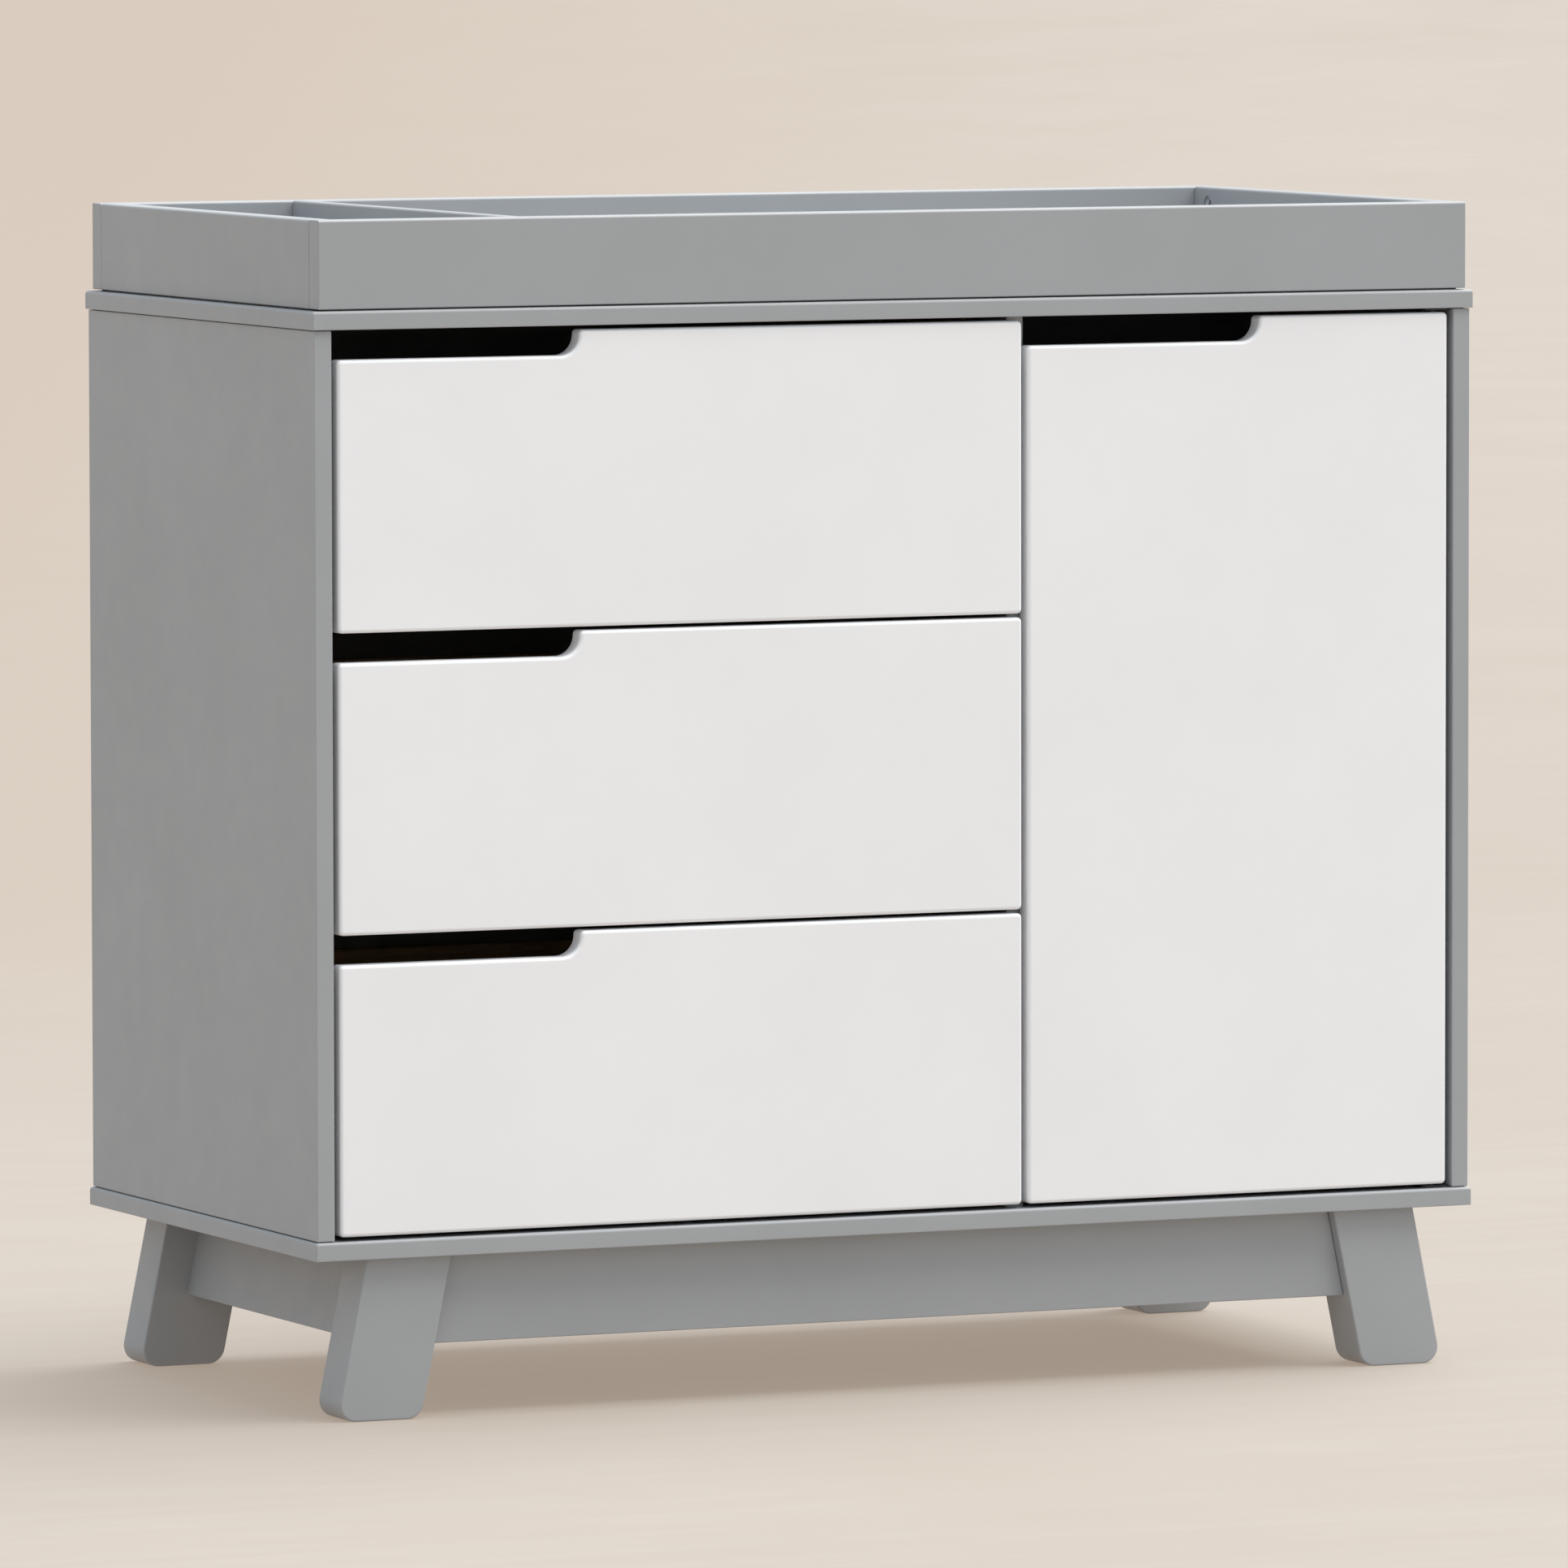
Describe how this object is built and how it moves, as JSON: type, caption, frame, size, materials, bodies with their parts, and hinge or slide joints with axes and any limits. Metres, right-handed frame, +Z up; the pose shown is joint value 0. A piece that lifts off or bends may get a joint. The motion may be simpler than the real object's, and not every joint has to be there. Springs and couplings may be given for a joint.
{
  "type": "changing table",
  "caption": "Dresser-style changing table on splayed legs, with drawers beside a tall cupboard door and a lift-off changing tray that has a small side compartment.",
  "frame": {"origin": "on the floor, under the middle of the table", "axes": "+Z up; the drawer fronts and the door face -Y; the drawers are on the -X side and the door on the +X side"},
  "size_m": [1, 0.476, 0.93],
  "materials": {
    "grey_paint": "satin grey paint on board",
    "white_paint": "satin white paint on board",
    "drawer_wood": "clear lacquered pale wood",
    "bare_board": "satin grey foil on board",
    "zinc_steel": "zinc plated",
    "black_steel": "black coated steel",
    "dark_plastic": "moulded"
  },
  "bodies": {
    "case": {"top_slab": "grey_paint", "bottom_slab": "grey_paint", "left_side_panel": "grey_paint", "right_side_panel": "grey_paint", "back_panel": "grey_paint", "leg_front_left": "grey_paint", "leg_front_right": "grey_paint", "leg_back_left": "grey_paint", "leg_back_right": "grey_paint", "apron_front": "grey_paint", "apron_back": "grey_paint", "apron_left": "grey_paint", "apron_right": "grey_paint", "centre_panel": "bare_board", "cupboard_shelf": "bare_board", "shelf_pin_front_left": "zinc_steel", "shelf_pin_front_right": "zinc_steel", "shelf_pin_back_left": "zinc_steel", "shelf_pin_back_right": "zinc_steel", "door_pivot_top": "black_steel", "door_pivot_bottom": "black_steel", "door_catch": "dark_plastic", "runner_channel_1_left": "zinc_steel", "runner_channel_1_right": "zinc_steel", "runner_channel_2_left": "zinc_steel", "runner_channel_2_right": "zinc_steel", "runner_channel_3_left": "zinc_steel", "runner_channel_3_right": "zinc_steel"},
    "drawer_1": {"drawer_1_front": "white_paint", "drawer_1_left_side": "drawer_wood", "drawer_1_right_side": "drawer_wood", "drawer_1_back": "drawer_wood", "drawer_1_bottom": "drawer_wood", "runner_slide_1_left": "zinc_steel", "runner_slide_1_right": "zinc_steel"},
    "drawer_2": {"drawer_2_front": "white_paint", "drawer_2_left_side": "drawer_wood", "drawer_2_right_side": "drawer_wood", "drawer_2_back": "drawer_wood", "drawer_2_bottom": "drawer_wood", "runner_slide_2_left": "zinc_steel", "runner_slide_2_right": "zinc_steel"},
    "drawer_3": {"drawer_3_front": "white_paint", "drawer_3_left_side": "drawer_wood", "drawer_3_right_side": "drawer_wood", "drawer_3_back": "drawer_wood", "drawer_3_bottom": "drawer_wood", "runner_slide_3_left": "zinc_steel", "runner_slide_3_right": "zinc_steel"},
    "door": {"door": "white_paint", "catch_strike": "zinc_steel"},
    "tray": {"tray_front": "grey_paint", "tray_back": "grey_paint", "tray_left": "grey_paint", "tray_right": "grey_paint", "tray_divider": "grey_paint", "tray_cam_front_left": "zinc_steel", "tray_cam_front_right": "zinc_steel", "tray_cam_back_left": "zinc_steel", "tray_cam_back_right": "zinc_steel"}
  },
  "joints": [
    {"name": "drawer_1_slide", "type": "slide", "parent": "case", "child": "drawer_1", "axis": [0, -1, 0], "range_m": [0, 0.3]},
    {"name": "drawer_2_slide", "type": "slide", "parent": "case", "child": "drawer_2", "axis": [0, -1, 0], "range_m": [0, 0.3]},
    {"name": "drawer_3_slide", "type": "slide", "parent": "case", "child": "drawer_3", "axis": [0, -1, 0], "range_m": [0, 0.3]},
    {"name": "door_hinge", "type": "hinge", "parent": "case", "child": "door", "pos_m": [0.469, -0.2265, 0.4935], "axis": [0, 0, 1], "range_deg": [0, 105]},
    {"name": "tray_lift", "type": "slide", "parent": "case", "child": "tray", "axis": [0, 0, 1], "range_m": [0, 0.1]}
  ]
}
